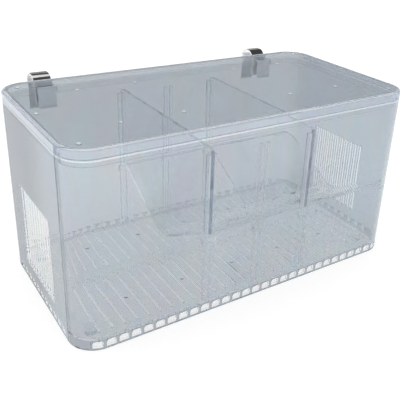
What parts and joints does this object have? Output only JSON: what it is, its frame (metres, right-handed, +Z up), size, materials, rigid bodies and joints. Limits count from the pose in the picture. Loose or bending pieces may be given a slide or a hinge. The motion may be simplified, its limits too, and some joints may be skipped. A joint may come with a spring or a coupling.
{
  "type": "fish breeding box",
  "caption": "Clear hanging breeding box with slotted ends and floor, lift-out dividers, a V-shaped spawning trap, a lift-off lid and steel hooks.",
  "frame": {"origin": "on the plane that the box stands on, under the middle of the tank", "axes": "+X along the tank's length towards the trap's closed end, +Y towards the back wall that carries the hooks, +Z up"},
  "size_m": [0.27, 0.1628, 0.1378],
  "materials": {
    "clear_plastic": "clear polished polystyrene with a faint cool tint",
    "clear_lid": "clear polished polystyrene with a faint cool tint",
    "steel": "bright rolled stainless strip"
  },
  "bodies": {
    "tank_body": {"tank": "clear_plastic"},
    "lid_body": {"lid": "clear_lid"},
    "divider_left_body": {"divider_left": "clear_plastic"},
    "divider_right_body": {"divider_right": "clear_plastic"},
    "trap_body": {"spawning_trap": "clear_plastic"},
    "hook_left_body": {"hook_left": "steel"},
    "hook_right_body": {"hook_right": "steel"}
  },
  "joints": [
    {"name": "lid_lift", "type": "slide", "parent": "tank_body", "child": "lid_body", "axis": [0, 0, 1], "range_m": [0, 0.26]},
    {"name": "divider_left_lift", "type": "slide", "parent": "tank_body", "child": "divider_left_body", "axis": [0, 0, 1], "range_m": [0, 0.221]},
    {"name": "divider_right_lift", "type": "slide", "parent": "tank_body", "child": "divider_right_body", "axis": [0, 0, 1], "range_m": [0, 0.221]},
    {"name": "trap_lift", "type": "slide", "parent": "tank_body", "child": "trap_body", "axis": [0, 0, 1], "range_m": [0, 0.1105]},
    {"name": "hook_left_lift", "type": "slide", "parent": "tank_body", "child": "hook_left_body", "axis": [0, 0, 1], "range_m": [0, 0.039]},
    {"name": "hook_right_lift", "type": "slide", "parent": "tank_body", "child": "hook_right_body", "axis": [0, 0, 1], "range_m": [0, 0.039]}
  ],
  "couplings": [
    {"joint": "divider_left_lift", "follows": "lid_lift", "ratio": 0.85},
    {"joint": "divider_right_lift", "follows": "lid_lift", "ratio": 0.85},
    {"joint": "trap_lift", "follows": "lid_lift", "ratio": 0.425},
    {"joint": "hook_left_lift", "follows": "lid_lift", "ratio": 0.15},
    {"joint": "hook_right_lift", "follows": "lid_lift", "ratio": 0.15}
  ]
}
